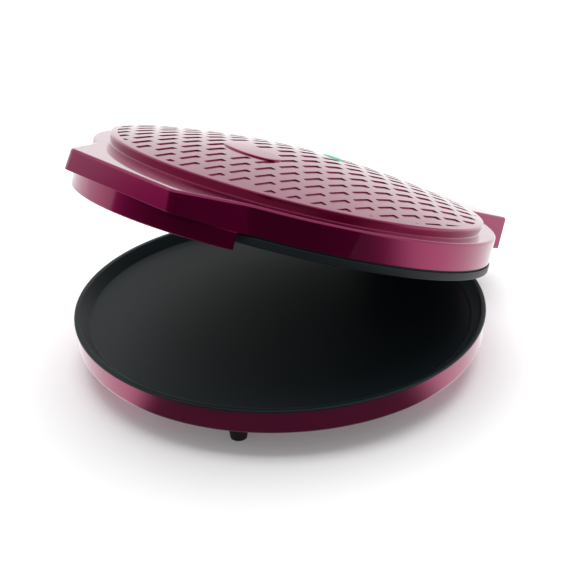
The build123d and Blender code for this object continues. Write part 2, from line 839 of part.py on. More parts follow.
shield_top = plate_back + 9.5
with BuildPart() as upper_heat_shield:
    with BuildSketch(lid_level(shield_top)):
        Circle(shield_radius)
        with Locations(*stud_places):
            Circle(screw_radius + 0.3, mode=Mode.SUBTRACT)
        with Locations((0, 60)):
            SlotOverall(30, 10, mode=Mode.SUBTRACT)
    extrude(amount=0.8)
    with BuildSketch(lid_level(shield_top)):
        Circle(shield_radius)
        Circle(shield_radius - 0.8, mode=Mode.SUBTRACT)
    extrude(amount=-4.5)
save(upper_heat_shield, "upper_heat_shield")

for number, place in enumerate(stud_places, start=1):
    with BuildPart() as shield_screw:
        with BuildSketch(lid_level(shield_top + 0.8)):
            with Locations(place):
                Circle(3.2)
        extrude(amount=1.8)
        with BuildSketch(lid_level(shield_top + 0.8)):
            with Locations(place):
                Circle(screw_radius)
        extrude(amount=-8)
        with BuildSketch(lid_level(shield_top + 2.6)):
            with Locations(place):
                Rectangle(4, 0.8)
                Rectangle(0.8, 4)
        extrude(amount=-1, mode=Mode.SUBTRACT)
    save(shield_screw, f"shield_screw_{number}")

for number, place in enumerate(post_places, start=1):
    with BuildPart() as plate_screw:
        with BuildSketch(lid_level(16.5)):
            with Locations(place):
                Circle(3.2)
        extrude(amount=2)
        with BuildSketch(lid_level(16.5)):
            with Locations(place):
                Circle(screw_radius)
        extrude(amount=-7)
        with BuildSketch(lid_level(18.5)):
            with Locations(place):
                Rectangle(4, 0.8)
                Rectangle(0.8, 4)
        extrude(amount=-1, mode=Mode.SUBTRACT)
    save(plate_screw, f"upper_plate_screw_{number}")

with BuildPart() as upper_thermal_fuse:
    with BuildSketch(lid_side(-8)):
        with Locations((-30, plate_back + 2.05)):
            Circle(2)
    extrude(amount=16)
    with BuildSketch(lid_side(-3)):
        with Locations((-30, plate_back + 1.1)):
            Rectangle(14, 2.2)
    extrude(amount=6)
    with BuildSketch(lid_side(-14)):
        with Locations((-30, plate_back + 2.05)):
            Circle(0.7)
    extrude(amount=28)
save(upper_thermal_fuse, "upper_thermal_fuse")

# Hinge, lid side: a steel plate under the housing's ceiling with two ears on the pins
with BuildPart() as hinge_ears:
    with BuildSketch(lid_level(ear_top)):
        with Locations((0, hinge_y)):
            Rectangle(100, 26)
        with Locations(*ear_places):
            Circle(1.6, mode=Mode.SUBTRACT)
    extrude(amount=-2)
    with BuildSketch(lid_side(-50), lid_side(47)):
        Polygon((hinge_y - 8, ear_top - 1), (hinge_y + 8, ear_top - 1), (hinge_y + 8, hinge_z),
                (hinge_y - 8, hinge_z), align=None)
        with Locations((hinge_y, hinge_z)):
            Circle(8)
    extrude(amount=3)
    with BuildSketch(lid_side(-60)):
        with Locations((hinge_y, hinge_z)):
            Circle(pin_radius + pin_clearance)
    extrude(amount=120, mode=Mode.SUBTRACT)
save(hinge_ears, "hinge_ears")

for side, place in zip(("left", "right"), ear_places):
    with BuildPart() as ear_screw:
        with BuildSketch(lid_level(ear_top - 2)):
            with Locations(place):
                Circle(3)
        extrude(amount=-1.6)
        with BuildSketch(lid_level(ear_top - 2)):
            with Locations(place):
                Circle(1.25)
        extrude(amount=5)
        with BuildSketch(lid_level(ear_top - 3.6)):
            with Locations(place):
                Rectangle(3.8, 0.8)
                Rectangle(0.8, 3.8)
        extrude(amount=0.8, mode=Mode.SUBTRACT)
    save(ear_screw, f"ear_screw_{side}")

with BuildPart() as wire_grommet:
    with BuildSketch(Plane(origin=lid_point(0, 152, 17), x_dir=(1, 0, 0), z_dir=lid_back)):
        Circle(3.95)
        Circle(2.4, mode=Mode.SUBTRACT)
    extrude(amount=12)
    with BuildSketch(Plane(origin=lid_point(0, 160.45, 17), x_dir=(1, 0, 0), z_dir=lid_back)):
        Circle(5.6)
        Circle(2.4, mode=Mode.SUBTRACT)
    extrude(amount=1.6)
save(wire_grommet, "wire_grommet")
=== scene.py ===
"""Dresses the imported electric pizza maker: round base with a shallow pan, and a hinged lid."""
import json
import math

import bmesh
import bpy
from mathutils import Matrix, Vector


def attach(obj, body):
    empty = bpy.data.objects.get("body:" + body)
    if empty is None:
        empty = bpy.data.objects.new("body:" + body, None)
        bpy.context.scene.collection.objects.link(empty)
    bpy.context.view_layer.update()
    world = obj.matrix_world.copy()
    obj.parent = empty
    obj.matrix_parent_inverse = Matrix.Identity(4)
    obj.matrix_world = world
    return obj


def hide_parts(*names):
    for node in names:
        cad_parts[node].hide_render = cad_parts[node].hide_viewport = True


bl_info = {
    "name": "Electric Pizza Maker",
    "version": (1, 0, 0),
    "blender": (4, 5, 0),
    "location": "3D View > Sidebar > Pizza Maker",
    "description": "Builds the moulded shells, plates, slotted dome and stage of an electric pizza maker",
    "category": "Object",
}

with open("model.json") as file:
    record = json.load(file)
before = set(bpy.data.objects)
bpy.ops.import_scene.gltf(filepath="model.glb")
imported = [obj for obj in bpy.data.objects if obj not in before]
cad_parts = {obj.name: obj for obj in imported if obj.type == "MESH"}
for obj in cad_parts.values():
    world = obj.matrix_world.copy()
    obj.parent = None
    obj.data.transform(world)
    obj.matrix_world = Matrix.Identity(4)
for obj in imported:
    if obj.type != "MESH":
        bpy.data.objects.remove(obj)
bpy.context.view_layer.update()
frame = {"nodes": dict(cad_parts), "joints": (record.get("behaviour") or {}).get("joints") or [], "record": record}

MM = 0.001
HINGE = Vector(frame["joints"][0]["pos_m"])
HINGE_BACK = 0.184
HINGE_ABOVE_RIM = 0.008
RIM_HEIGHT = 0.043
LID_TILT = math.radians(22)
BASE_PLACE = Matrix.Translation((0, HINGE.y - HINGE_BACK, RIM_HEIGHT))
LID_PLACE = (Matrix.Translation(HINGE) @ Matrix.Rotation(-LID_TILT, 4, "X")
             @ Matrix.Translation((0, -HINGE_BACK, -HINGE_ABOVE_RIM)))

# Sizes in millimetres, each in the frame of its own half: z is 0 at the pan's rim

FOOT_CIRCLE = 133.5
SCREW_CIRCLE = 112
INLET_TURN = 118
INLET_LEVEL = -21.5
LID_RADIUS = 160.4
LID_BOTTOM = 8.3
FLANGE = 29
WALL = 2.5
LIP_AXIS = -57
LIP_RADIUS = 127
LIP_WALL = 2.4
LIP_HALF_ANGLE = 43.3
LIP_SCREW = (35, -170)
DOME_RADIUS = 149.0
DOME_RIM = 36.3
DOME_RISE = 17.7
DOME_CURVE = 1.67
BADGE_Y = -57.5
LENS_Y = 38

# Camera, fitted to the photograph's rim and lid

CAMERA_AZIMUTH = 45.416
CAMERA_HEIGHT = 28.266
CAMERA_ROLL_TILT_PAN = (1.699, -0.585, 0.2)
CAMERA_DISTANCE = 1.3
FOCAL_LENGTH = 1628.07 / 570


# Mesh helpers


def polar(radius, degrees):
    """The x and y of a point at a radius and an angle."""
    return radius * math.cos(math.radians(degrees)), radius * math.sin(math.radians(degrees))


def soften(corners, steps=5):
    """Turns (radius, height, rounding) corners in millimetres into a line with rounded corners."""
    line = []
    for i, (x, z, rounding) in enumerate(corners):
        here = Vector((x, z))
        if rounding <= 0 or i in (0, len(corners) - 1):
            line.append(tuple(here))
            continue
        before = (Vector(corners[i - 1][:2]) - here).normalized()
        after = (Vector(corners[i + 1][:2]) - here).normalized()
        half = before.angle(after) / 2
        reach = rounding / math.tan(half)
        middle = here + (before + after).normalized() * rounding / math.sin(half)
        start = here + before * reach - middle
        end = here + after * reach - middle
        turn = start.angle_signed(end)
        for k in range(steps + 1):
            spot = start.copy()
            spot.rotate(Matrix.Rotation(-turn * k / steps, 2))
            line.append(tuple(middle + spot))
    return line


def lathe(line, place, turns=256):
    """Revolves a closed or axis-to-axis line of (radius, height) millimetres into a mesh."""
    mesh = bpy.data.meshes.new("lathe")
    bm = bmesh.new()
    rings = []
    for r, z in line:
        if r < 1e-6:
            rings.append([bm.verts.new((0, 0, z * MM))])
            continue
        rings.append([bm.verts.new((r * MM * math.cos(2 * math.pi * k / turns),
                                    r * MM * math.sin(2 * math.pi * k / turns), z * MM)) for k in range(turns)])
    closed = len(rings[0]) > 1 and len(rings[-1]) > 1
    pairs = list(zip(rings, rings[1:]))
    if closed:
        pairs.append((rings[-1], rings[0]))
    for low, high in pairs:
        for k in range(turns):
            n = (k + 1) % turns
            if len(low) == 1 and len(high) == 1:
                continue
            if len(low) == 1:
                bm.faces.new((low[0], high[n], high[k]))
            elif len(high) == 1:
                bm.faces.new((low[k], low[n], high[0]))
            else:
                bm.faces.new((low[k], low[n], high[n], high[k]))
    bmesh.ops.recalc_face_normals(bm, faces=bm.faces)
    bm.transform(place)
    bm.to_mesh(mesh)
    bm.free()
    return mesh


def add_piece(name, mesh, material, body, nodes, sharp=30, weighted=False):
    """Links a finished mesh, gives it its finish, and puts it on its body in place of CAD nodes."""
    mesh.materials.clear()
    mesh.materials.append(material)
    mesh.polygons.foreach_set("use_smooth", [True] * len(mesh.polygons))
    mesh.set_sharp_from_angle(angle=math.radians(sharp))
    if weighted:
        helper = helper_object("weighted", mesh)
        modifier = helper.modifiers.new("weighted", "WEIGHTED_NORMAL")
        modifier.keep_sharp = True
        modifier.weight = 80
        mesh = apply_modifiers(helper)
    mesh.name = name
    piece = bpy.data.objects.new(name, mesh)
    bpy.context.scene.collection.objects.link(piece)
    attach(piece, body)
    if nodes:
        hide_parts(*nodes)
    return piece


def apply_modifiers(piece):
    """Replaces a helper object by the plain mesh that its modifiers give."""
    graph = bpy.context.evaluated_depsgraph_get()
    mesh = bpy.data.meshes.new_from_object(piece.evaluated_get(graph))
    bpy.data.objects.remove(piece)
    return mesh


def helper_object(name, mesh):
    """Links a mesh as an object that is used for a while, or that stands on the stage."""
    piece = bpy.data.objects.new(name, mesh)
    bpy.context.scene.collection.objects.link(piece)
    return piece


# Materials


def empty_tree(owner, kind):
    """Clears the nodes of a material or world down to its output."""
    owner.use_nodes = True
    tree = owner.node_tree
    tree.nodes.clear()
    return tree, tree.nodes.new(kind)


def new_material(name):
    """A material with one Principled shader."""
    material = bpy.data.materials.new(name)
    tree, output = empty_tree(material, "ShaderNodeOutputMaterial")
    surface = tree.nodes.new("ShaderNodeBsdfPrincipled")
    tree.links.new(surface.outputs["BSDF"], output.inputs["Surface"])
    return material, tree, surface


def feed(tree, socket, value):
    """Gives a socket a plain value or another node's result."""
    if isinstance(value, (int, float)):
        socket.default_value = value
    else:
        tree.links.new(value, socket)


def maths(tree, kind, a, b=0.0):
    """A Math node on two values or sockets; its result."""
    node = tree.nodes.new("ShaderNodeMath")
    node.operation = kind
    for socket, value in zip(node.inputs, (a, b)):
        feed(tree, socket, value)
    return node.outputs[0]


def fade(tree, source, low, high, start=0.0, end=1.0):
    """Goes smoothly from start to end while the source goes from low to high."""
    node = tree.nodes.new("ShaderNodeMapRange")
    node.interpolation_type = "SMOOTHSTEP"
    node.inputs["From Min"].default_value = low
    node.inputs["From Max"].default_value = high
    node.inputs["To Min"].default_value = start
    node.inputs["To Max"].default_value = end
    tree.links.new(source, node.inputs["Value"])
    return node.outputs["Result"]


def noise(tree, scale, detail=2.0, rough=0.5):
    """Noise on Object coordinates."""
    coords = tree.nodes.new("ShaderNodeTexCoord")
    node = tree.nodes.new("ShaderNodeTexNoise")
    node.inputs["Scale"].default_value = scale
    node.inputs["Detail"].default_value = detail
    node.inputs["Roughness"].default_value = rough
    tree.links.new(coords.outputs["Object"], node.inputs["Vector"])
    return node


def spread(tree, source, low, high):
    """Maps 0 to 1 onto low to high."""
    node = tree.nodes.new("ShaderNodeMapRange")
    node.inputs["To Min"].default_value = low
    node.inputs["To Max"].default_value = high
    tree.links.new(source, node.inputs["Value"])
    return node.outputs["Result"]


def blend_colours(tree, factor, low, high):
    node = tree.nodes.new("ShaderNodeMix")
    node.data_type = "RGBA"
    node.inputs["A"].default_value = (*low, 1)
    node.inputs["B"].default_value = (*high, 1)
    tree.links.new(factor, node.inputs["Factor"])
    return node.outputs["Result"]


def bump(tree, surface, source, strength, distance):
    """Lets a height bend the shading of a surface."""
    node = tree.nodes.new("ShaderNodeBump")
    node.inputs["Strength"].default_value = strength
    node.inputs["Distance"].default_value = distance
    tree.links.new(source, node.inputs["Height"])
    tree.links.new(node.outputs["Normal"], surface.inputs["Normal"])


def glossy_plastic(name, colour, metallic=0.95, rough=0.34):
    """Lacquered deep burgundy moulding: candy colour under a clear gloss."""
    material, tree, surface = new_material(name)
    mottle = noise(tree, 60, 3)
    deep = tuple(c * 0.9 for c in colour)
    tree.links.new(blend_colours(tree, mottle.outputs["Fac"], deep, colour), surface.inputs["Base Color"])
    haze = noise(tree, 14, 4, 0.6)
    tree.links.new(spread(tree, haze.outputs["Fac"], rough - 0.03, rough + 0.03), surface.inputs["Roughness"])
    surface.inputs["Metallic"].default_value = metallic
    surface.inputs["Coat Weight"].default_value = 1.0
    surface.inputs["Coat Roughness"].default_value = 0.03
    surface.inputs["Coat IOR"].default_value = 1.45
    peel = noise(tree, 700, 1)
    bump(tree, surface, peel.outputs["Fac"], 0.012, 0.0001)
    return material


def coated_metal(name, colour, rough=0.42):
    """Dark non-stick coating with a fine grain."""
    material, tree, surface = new_material(name)
    patch = noise(tree, 9, 3)
    pale = tuple(c * 1.35 for c in colour)
    tree.links.new(blend_colours(tree, patch.outputs["Fac"], colour, pale), surface.inputs["Base Color"])
    grain = noise(tree, 2600, 2)
    tree.links.new(spread(tree, grain.outputs["Fac"], rough - 0.08, rough + 0.08),
                   surface.inputs["Roughness"])
    surface.inputs["Specular IOR Level"].default_value = 0.25
    bump(tree, surface, grain.outputs["Fac"], 0.12, 0.0001)
    return material


def bare_metal(name, colour, rough=0.35):
    material, tree, surface = new_material(name)
    streak = noise(tree, 180, 3)
    pale = tuple(min(1, c * 1.2) for c in colour)
    tree.links.new(blend_colours(tree, streak.outputs["Fac"], colour, pale), surface.inputs["Base Color"])
    tree.links.new(spread(tree, streak.outputs["Fac"], rough - 0.08, rough + 0.1),
                   surface.inputs["Roughness"])
    surface.inputs["Metallic"].default_value = 1.0
    bump(tree, surface, streak.outputs["Fac"], 0.05, 0.0001)
    return material


def matte_material(name, colour, rough=0.6, grain_scale=1500, depth=0.0001):
    material, tree, surface = new_material(name)
    grain = noise(tree, grain_scale, 2)
    pale = tuple(min(1, c * 1.3 + 0.002) for c in colour)
    tree.links.new(blend_colours(tree, grain.outputs["Fac"], colour, pale), surface.inputs["Base Color"])
    tree.links.new(spread(tree, grain.outputs["Fac"], rough - 0.07, rough + 0.07),
                   surface.inputs["Roughness"])
    bump(tree, surface, grain.outputs["Fac"], 0.15, depth)
    return material


def lens_material(name, colour):
    material, tree, surface = new_material(name)
    haze = noise(tree, 300, 2)
    pale = tuple(min(1, c * 1.25) for c in colour)
    tree.links.new(blend_colours(tree, haze.outputs["Fac"], colour, pale), surface.inputs["Base Color"])
    surface.inputs["Roughness"].default_value = 0.12
    surface.inputs["Subsurface Weight"].default_value = 0.3
    surface.inputs["Subsurface Scale"].default_value = 0.002
    surface.inputs["Coat Weight"].default_value = 0.5
    return material


def lamp_material(name):
    material, tree, surface = new_material(name)
    haze = noise(tree, 200, 2)
    tree.links.new(blend_colours(tree, haze.outputs["Fac"], (0.8, 0.9, 0.85), (0.95, 1, 0.97)),
                   surface.inputs["Base Color"])
    surface.inputs["Transmission Weight"].default_value = 0.9
    surface.inputs["Roughness"].default_value = 0.05
    return material


finishes = {}


def finish(name):
    """The finish of a material slot, made the first time that it is asked for."""
    look = bpy.context.scene.pizza_maker
    shell = tuple(look.shell_colour)
    if name not in finishes:
        finishes[name] = {
            "shell_plastic": lambda: glossy_plastic("burgundy_gloss", shell),
            "badge_plastic": lambda: glossy_plastic("burgundy_badge", tuple(c * 1.1 for c in shell)),
            "lens_plastic": lambda: lens_material("green_lens", tuple(look.lens_colour)),
            "coated_plate": lambda: coated_metal("non_stick_coating", tuple(look.coating_colour)),
            "element_steel": lambda: bare_metal("heating_tube_steel", (0.22, 0.19, 0.17), 0.5),
            "shield_steel": lambda: bare_metal("aluminised_sheet", (0.62, 0.62, 0.62), 0.3),
            "screw_steel": lambda: bare_metal("zinc_plated_steel", (0.5, 0.5, 0.49), 0.35),
            "pin_steel": lambda: bare_metal("turned_pin_steel", (0.52, 0.52, 0.52), 0.25),
            "bracket_metal": lambda: matte_material("black_painted_bracket", (0.012, 0.012, 0.013), 0.45),
            "foot_rubber": lambda: matte_material("dark_foot_rubber", (0.014, 0.008, 0.01), 0.55, 900, 0.0002),
            "dark_plastic": lambda: matte_material("black_cover_plastic", (0.012, 0.012, 0.012), 0.5),
            "lamp_glass": lambda: lamp_material("lamp_glass"),
            "ceramic": lambda: matte_material("glazed_insulator", (0.75, 0.73, 0.68), 0.25, 400, 0.00005),
            "fuse_metal": lambda: bare_metal("fuse_can_metal", (0.6, 0.6, 0.58), 0.3),
        }[name]()
    return finishes[name]


class PizzaMakerSettings(bpy.types.PropertyGroup):
    """Sizes and colours of the pizza maker."""

    shell_colour: bpy.props.FloatVectorProperty(
        name="Shell colour", description="Colour of the lid, handle and bowl", subtype="COLOR", size=3,
        min=0, max=1, default=(0.3, 0.001, 0.08))
    coating_colour: bpy.props.FloatVectorProperty(
        name="Coating colour", description="Colour of the non-stick plates", subtype="COLOR", size=3,
        min=0, max=1, default=(0.006, 0.0105, 0.0125))
    lens_colour: bpy.props.FloatVectorProperty(
        name="Lens colour", description="Colour of the indicator lens", subtype="COLOR", size=3,
        min=0, max=1, default=(0.12, 0.5, 0.3))
    column_pitch: bpy.props.FloatProperty(
        name="Column pitch", description="Distance between two columns of slots on the dome",
        unit="LENGTH", default=0.01295)
    row_pitch: bpy.props.FloatProperty(
        name="Row pitch", description="Distance between two slots of one column", unit="LENGTH", default=0.0254)
    slot_length: bpy.props.FloatProperty(
        name="Slot length", description="Length of one slot on the dome", unit="LENGTH", default=0.0181)
    slot_width: bpy.props.FloatProperty(
        name="Slot width", description="Width of one slot on the dome", unit="LENGTH", default=0.0056)
    slot_depth: bpy.props.FloatProperty(
        name="Slot depth", description="Depth of one slot on the dome", unit="LENGTH", default=0.0008)
    pattern_radius: bpy.props.FloatProperty(
        name="Pattern radius", description="Radius of the slotted field on the dome", unit="LENGTH",
        default=0.1435)


# Base


def drum(radius, low, high, spot, place, sides=32):
    """A plain round cutter, in millimetres."""
    bm = bmesh.new()
    bmesh.ops.create_cone(bm, cap_ends=True, segments=sides, radius1=radius * MM, radius2=radius * MM,
                          depth=(high - low) * MM)
    bm.transform(place @ Matrix.Translation((spot[0] * MM, spot[1] * MM, (low + high) / 2 * MM)))
    mesh = bpy.data.meshes.new("cutter")
    bm.to_mesh(mesh)
    bm.free()
    return mesh


def carve(mesh, cutters, operation="DIFFERENCE"):
    """Cuts the joined cutters out of a mesh."""
    joined = bmesh.new()
    for cutter in cutters:
        joined.from_mesh(cutter)
    tool_mesh = bpy.data.meshes.new("cutters")
    joined.to_mesh(tool_mesh)
    joined.free()
    tool = helper_object("cutters", tool_mesh)
    body = helper_object("carved", mesh)
    modifier = body.modifiers.new("cut", "BOOLEAN")
    modifier.operation = operation
    modifier.solver = "EXACT"
    modifier.object = tool
    result = apply_modifiers(body)
    bpy.data.objects.remove(tool)
    return result


class PIZZA_OT_base_bowl(bpy.types.Operator):
    """Turns the burgundy bowl of the base and cuts its openings"""

    bl_idname = "pizza.base_bowl"
    bl_label = "Base bowl"

    def execute(self, context):
        line = soften([(160, -2.2, 0), (162.5, -2.2, 0.5), (161.6, -20.4, 3.5), (138, -28.5, 3.5), (92, -28.5, 0),
                       (92, -26, 0), (137.6, -26, 3.5), (159.1, -18.6, 3.5)], 8)
        mesh = lathe(line, BASE_PLACE, 320)
        turn = (BASE_PLACE @ Matrix.Rotation(math.radians(INLET_TURN), 4, "Z")
                @ Matrix.Translation((0, 0, INLET_LEVEL * MM)) @ Matrix.Rotation(math.radians(90), 4, "Y"))
        mesh = carve(mesh, [drum(8.2, 148, 162.6, (0, 0), turn, 64)], "UNION")
        cutters = []
        for angle in (45, 135, 225, 315):
            spot = polar(SCREW_CIRCLE, angle)
            cutters.append(drum(4, -30, -25.9, spot, BASE_PLACE))
            cutters.append(drum(1.9, -26.5, -20, spot, BASE_PLACE))
        cutters.append(drum(5.1, 140, 170, (0, 0), turn, 48))
        mesh = carve(mesh, cutters)
        add_piece("base_bowl", mesh, finish("shell_plastic"), "base", ["base_shell"], 30, True)
        return {"FINISHED"}


class PIZZA_OT_pan(bpy.types.Operator):
    """Turns the non-stick pan with its flat rim"""

    bl_idname = "pizza.pan"
    bl_label = "Pan"

    def execute(self, context):
        line = soften([(0, -8, 0), (151.8, -8, 2.5), (159.6, 0, 2.0), (163.6, -0.1, 1.3), (163.6, -2.2, 0.5),
                       (159.2, -2.2, 0), (157.2, -7.5, 0), (153.5, -12, 1.0), (0, -12, 0)])
        mesh = lathe(line, BASE_PLACE, 320)
        add_piece("non_stick_pan", mesh, finish("coated_plate"), "base", ["lower_plate"], 40)
        return {"FINISHED"}


class PIZZA_OT_feet(bpy.types.Operator):
    """Sets four tapered rubber feet under the bowl"""

    bl_idname = "pizza.feet"
    bl_label = "Feet"

    def execute(self, context):
        for side, angle in (("front_left", 239), ("front_right", 301), ("rear_left", 121), ("rear_right", 59)):
            spot = Matrix.Translation((*polar(FOOT_CIRCLE * MM, angle), 0))
            line = soften([(0, -43, 0), (6.2, -43, 0.8), (8.2, -28.6, 0), (8.4, -26.9, 0.3), (0, -26.9, 0)])
            mesh = lathe(line, BASE_PLACE @ spot, 48)
            add_piece("rubber_foot_" + side, mesh, finish("foot_rubber"), "base", ["foot_" + side])
        return {"FINISHED"}


# Lid


def dome_height(r, rise=0.0):
    """Height of the dome at a radius, or of a face that runs above it by rise."""
    return DOME_RIM + rise + DOME_RISE * (1 - (min(r, DOME_RADIUS) / DOME_RADIUS) ** DOME_CURVE)


def shell_outline(inset, level):
    """The lid's outline, moved inwards by inset: round, with the handle blended on in front.

    level runs from 0 at the lower edge to 1 at the top, where the handle is a little smaller.
    """
    half, front = 57.5 - 2.5 * level, 187.0 - 0.6 * level
    blend, corner = 25.0, 8.0
    along = Vector((29.0, 49.4)).normalized()
    outward = Vector((along.y, -along.x))
    start = Vector((half, -front)) + outward * blend
    lean = start.dot(along)
    centre = start + along * (-lean - math.sqrt(lean ** 2 - start.length_squared + (LID_RADIUS + blend) ** 2))
    turn = Vector((half - corner * (1 + outward.y) / outward.x, -front + corner))
    side = []

    def arc(middle, radius, first, last, count):
        for k in range(count):
            angle = first + (last - first) * k / count
            side.append((middle[0] + radius * math.cos(angle), middle[1] + radius * math.sin(angle)))

    def straight(a, b, count):
        for k in range(count):
            side.append((a[0] + (b[0] - a[0]) * k / count, a[1] + (b[1] - a[1]) * k / count))

    meeting = math.atan2(centre.y, centre.x)
    facing = math.atan2(outward.y, outward.x)
    arc((0, 0), LID_RADIUS - inset, math.pi / 2, meeting, 130)
    arc(centre, blend + inset, meeting + math.pi, facing + math.pi, 14)
    straight(centre - outward * (blend + inset), turn + outward * (corner - inset), 6)
    arc(turn, corner - inset, facing, -math.pi / 2, 10)
    straight((turn.x, -front + inset), (0, -front + inset), 10)
    side.append((0, -front + inset))
    return side + [(-x, y) for x, y in side[-2:0:-1]]


def underside(y):
    """Height of the handle's sloping lower edge."""
    return LID_BOTTOM + max(0.0, -y - 143.1) * 0.1062


def shell_ring(inset, height=None, above=0.0):
    """One loop of the lid's side wall, at a height or at a distance above its lower edge."""
    ring = []
    for low, high in zip(shell_outline(inset, 0), shell_outline(inset, 1)):
        z = underside(low[1]) + above if height is None else height
        share = (z - LID_BOTTOM) / (FLANGE - LID_BOTTOM)
        ring.append((low[0] + (high[0] - low[0]) * share, low[1] + (high[1] - low[1]) * share, z))
    return ring


def round_ring(ring, radius, height):
    """A round loop whose points face those of another loop."""
    return [(x * radius / math.hypot(x, y), y * radius / math.hypot(x, y), height) for x, y, z in ring]


def stitched(rings, place, closed=True, caps=False):
    """Joins loops of equally many points into a mesh; sizes are in millimetres."""
    bm = bmesh.new()
    rows = [[bm.verts.new((x * MM, y * MM, z * MM)) for x, y, z in ring] for ring in rings]
    pairs = list(zip(rows, rows[1:]))
    if closed:
        pairs.append((rows[-1], rows[0]))
    for low, high in pairs:
        for k in range(len(low)):
            n = (k + 1) % len(low)
            bm.faces.new((low[k], low[n], high[n], high[k]))
    if caps:
        bm.faces.new(rows[0])
        bm.faces.new(rows[-1])
    bmesh.ops.recalc_face_normals(bm, faces=bm.faces)
    bm.transform(place)
    mesh = bpy.data.meshes.new("stitched")
    bm.to_mesh(mesh)
    bm.free()
    return mesh


def block(low, high, place, top_fall=0.0, foot=0.0, rounding=0.0):
    """A box in millimetres; its top falls towards the back, its back foot steps out, its back rounds."""
    bm = bmesh.new()
    (x0, y0, z0), (x1, y1, z1) = low, high
    rise = (y1 - y0) * top_fall
    spots = [(x0, y0, z0), (x1, y0, z0), (x1, y1 + foot, z0), (x0, y1 + foot, z0),
             (x0, y0, z1 + rise), (x1, y0, z1 + rise), (x1, y1, z1), (x0, y1, z1)]
    verts = [bm.verts.new(Vector(p) * MM) for p in spots]
    for face in ((0, 3, 2, 1), (4, 5, 6, 7), (0, 1, 5, 4), (1, 2, 6, 5), (2, 3, 7, 6), (3, 0, 4, 7)):
        bm.faces.new([verts[i] for i in face])
    if rounding:
        pairs = {(4, 7), (5, 6), (6, 7), (2, 6), (3, 7)}
        edges = [e for e in bm.edges if tuple(sorted(verts.index(v) for v in e.verts)) in pairs]
        bmesh.ops.bevel(bm, geom=edges, offset=rounding * MM, segments=5, profile=0.5, affect="EDGES")
    bm.transform(place)
    mesh = bpy.data.meshes.new("block")
    bm.to_mesh(mesh)
    bm.free()
    return mesh


def joined_mesh(meshes):
    """Puts several meshes into one, without cutting them."""
    bm = bmesh.new()
    for mesh in meshes:
        bm.from_mesh(mesh)
    result = bpy.data.meshes.new("joined")
    bm.to_mesh(result)
    bm.free()
    return result


class PIZZA_OT_lid_shell(bpy.types.Operator):
    """Moulds the lid's outer shell with its handle and hinge housing"""

    bl_idname = "pizza.lid_shell"
    bl_label = "Lid shell"

    def execute(self, context):
        rings = [shell_ring(WALL), shell_ring(0.45), shell_ring(0.13, above=0.13), shell_ring(0, above=0.45)]
        for k in range(9):
            angle = math.pi / 16 * k
            rings.append(shell_ring(2 * (1 - math.cos(angle)), FLANGE - 2 + 2 * math.sin(angle)))
        top = rings[-1]
        rings += [round_ring(top, 152, FLANGE), round_ring(top, 138.3, FLANGE),
                  round_ring(top, 138.3, FLANGE - WALL), shell_ring(WALL, FLANGE - WALL)]
        shell = stitched(rings, LID_PLACE)
        fall = math.tan(math.radians(4))
        housing = block((-62, 144, 1), (62, 207.5, 28), LID_PLACE, fall, 0.6, 2.2)
        hollow = block((-59.5, 130, -10), (59.5, 205, 25.5), LID_PLACE, fall, 0.6)
        hollow = carve(hollow, [drum(160.35, -30, 80, (0, 0), LID_PLACE, 320)])
        housing = carve(housing, [hollow])
        housing = carve(housing, [drum(150.5, -20, 60, (0, 0), LID_PLACE, 320)])
        housing = carve(housing, [drum(162.4, -20, LID_BOTTOM, (0, 0), LID_PLACE, 320)])
        shell = carve(shell, [housing], "UNION")
        along = LID_PLACE @ Matrix.Translation((0, 0, 0.017)) @ Matrix.Rotation(math.radians(-90), 4, "X")
        shell = carve(shell, [drum(4, 150, 163, (0, 0), along, 48)])
        bosses = []
        holes = []
        for angle in (30, 150, 210, 330):
            turn = LID_PLACE @ Matrix.Rotation(math.radians(angle), 4, "Z")
            bosses.append(block((127.5, -9, 14), (158.2, 9, 16.5), turn))
            holes.append(drum(1.9, 10, 20, (134, 0), turn))
        for x in (-20, 20):
            bosses.append(drum(5, 23.5, 27, (x, 184), LID_PLACE))
            holes.append(drum(1.3, 23.4, 26.9, (x, 184), LID_PLACE))
        for side in (-1, 1):
            spot = (side * LIP_SCREW[0], LIP_SCREW[1])
            bosses.append(drum(4.5, 14.3, 27, spot, LID_PLACE))
            holes.append(drum(1.3, 14.2, 23.3, spot, LID_PLACE))
        shell = joined_mesh([shell, carve(joined_mesh(bosses), holes)])
        add_piece("lid_outer_shell", shell, finish("shell_plastic"), "lid", ["lid_shell"], 30,
                  True)
        return {"FINISHED"}


def lip_section(angle):
    """Section of the curved lip and of its shelf, at an angle about the lip's own axis."""
    shelf = LIP_AXIS * math.cos(angle) + math.sqrt(163.1 ** 2 - (LIP_AXIS * math.sin(angle)) ** 2)
    top = underside(LIP_AXIS - LIP_RADIUS * math.cos(angle))
    inner = LIP_RADIUS - LIP_WALL
    line = soften([(inner, top - 1.6, 0), (inner, -3, 0.7), (LIP_RADIUS, -3, 0.9), (LIP_RADIUS, top, 0),
                   (shelf, top, 0), (shelf, top - 1.6, 0)])
    return [(r * math.sin(angle), LIP_AXIS - r * math.cos(angle), z) for r, z in line]


